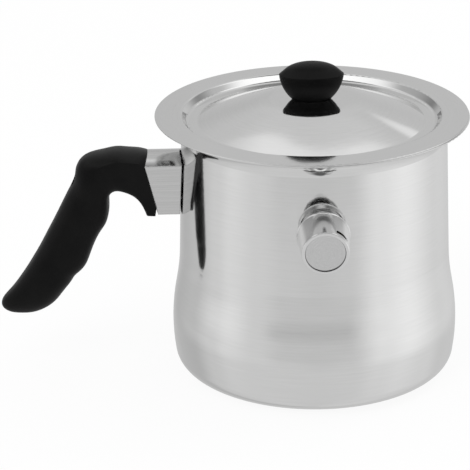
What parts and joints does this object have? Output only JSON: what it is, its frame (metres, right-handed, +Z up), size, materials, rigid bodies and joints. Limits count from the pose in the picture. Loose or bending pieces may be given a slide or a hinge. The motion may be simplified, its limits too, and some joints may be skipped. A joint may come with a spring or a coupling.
{
  "type": "milk boiler",
  "caption": "Double-walled stainless milk boiler with an angled side grip, a loose lid with a raised centre and an oval knob and a plug-on whistle on its water filler neck.",
  "frame": {"origin": "centre of the flat underside, on the axis of the pot", "axes": "+Z up along the pot's axis; the handle points along -X and the filler neck with its whistle along -Y"},
  "size_m": [0.2784, 0.2028, 0.1882],
  "materials": {
    "polished_steel": "polished stainless steel with a faint brushed grain round the pot",
    "lid_steel": "polished stainless steel, finely turned",
    "brushed_steel": "brushed along the handle",
    "whistle_steel": "bright, lightly satined end face",
    "zinc_steel": "bright zinc plate",
    "black_bakelite": "black phenolic, satin gloss",
    "brass": "plain turned or stamped brass",
    "silicone": "matt translucent grey silicone"
  },
  "bodies": {
    "pot": {"outer_shell": "polished_steel", "inner_vessel": "polished_steel", "filler_neck": "polished_steel", "neck_collar": "polished_steel", "handle_bracket": "zinc_steel", "bracket_nut": "zinc_steel", "handle_ferrule": "brushed_steel", "handle_grip": "black_bakelite", "handle_bolt": "zinc_steel", "bolt_washer": "zinc_steel"},
    "lid": {"lid_plate": "lid_steel", "knob": "black_bakelite", "knob_insert": "brass", "knob_screw": "zinc_steel", "knob_washer": "zinc_steel"},
    "whistle": {"whistle_sleeve": "whistle_steel", "whistle_end_disc": "whistle_steel", "whistle_rear_plate": "brass", "whistle_front_plate": "brass", "whistle_seal": "silicone", "seal_retainer": "whistle_steel"}
  },
  "joints": [
    {"name": "lid_lift", "type": "slide", "parent": "pot", "child": "lid", "axis": [0, 0, 1], "range_m": [0, 0.08]},
    {"name": "whistle_pull", "type": "slide", "parent": "pot", "child": "whistle", "axis": [0, -0.9925, -0.1219], "range_m": [0, 0.04]}
  ]
}
